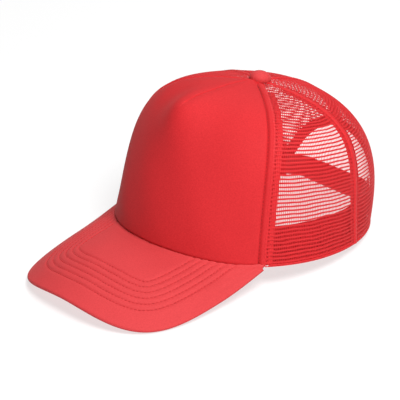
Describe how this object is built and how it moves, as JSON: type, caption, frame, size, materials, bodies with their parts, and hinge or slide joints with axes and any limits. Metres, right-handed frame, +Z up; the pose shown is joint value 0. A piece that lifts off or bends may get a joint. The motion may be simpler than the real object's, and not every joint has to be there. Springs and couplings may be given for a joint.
{
  "type": "trucker mesh cap",
  "caption": "Cap with a foam-laminated front panel, open mesh side and back panels, a curved stitched visor, a covered top button and a snap strap across the back arch.",
  "frame": {"origin": "centre of the footprint, on the surface the cap stands on", "axes": "+Y from the visor towards the back of the head, +X towards the wearer's left, +Z up"},
  "size_m": [0.1864, 0.2754, 0.1253],
  "materials": {
    "foam_fabric": "smooth brushed polyester face on foam",
    "mesh": "open polyester mesh, small holes in rows",
    "tape": "woven tape",
    "binding": "folded bias tape",
    "sweatband_cloth": "plain woven sweatband cloth",
    "board": "plain moulded sheet",
    "visor_cloth": "smooth polyester cloth",
    "thread": "polyester sewing thread",
    "button_metal": "plain pressed steel",
    "strap": "moulded flexible plastic"
  },
  "bodies": {
    "cap": {"arch_binding": "binding", "back_mesh_left": "mesh", "back_mesh_right": "mesh", "button_cover": "visor_cloth", "button_rivet": "button_metal", "button_shell": "button_metal", "button_washer": "button_metal", "centre_back_tape": "tape", "dart_tape": "tape", "front_panel": "foam_fabric", "front_seam_tape_left": "tape", "front_seam_tape_right": "tape", "hem_tape_left": "tape", "hem_tape_right": "tape", "hole_strap_root": "strap", "peg_strap_root": "strap", "rear_seam_tape_left": "tape", "rear_seam_tape_right": "tape", "side_mesh_left": "mesh", "side_mesh_right": "mesh", "sweatband": "sweatband_cloth", "visor_board": "board", "visor_stitching": "thread", "visor_top_cover": "visor_cloth", "visor_under_cover": "visor_cloth"},
    "outer_strap": {"hole_strap": "strap"},
    "inner_strap": {"peg_strap": "strap"}
  },
  "joints": [
    {"name": "outer_strap_swing", "type": "hinge", "parent": "cap", "child": "outer_strap", "pos_m": [0.027, 0.12416, 0.00172], "axis": [0, -0.3696, -0.9292], "range_deg": [0, 60], "stiffness_Nm_per_rad": 0.01},
    {"name": "inner_strap_swing", "type": "hinge", "parent": "cap", "child": "inner_strap", "pos_m": [-0.027, 0.12295, 0.0022], "axis": [0, -0.3696, -0.9292], "range_deg": [0, 35], "stiffness_Nm_per_rad": 0.01}
  ]
}
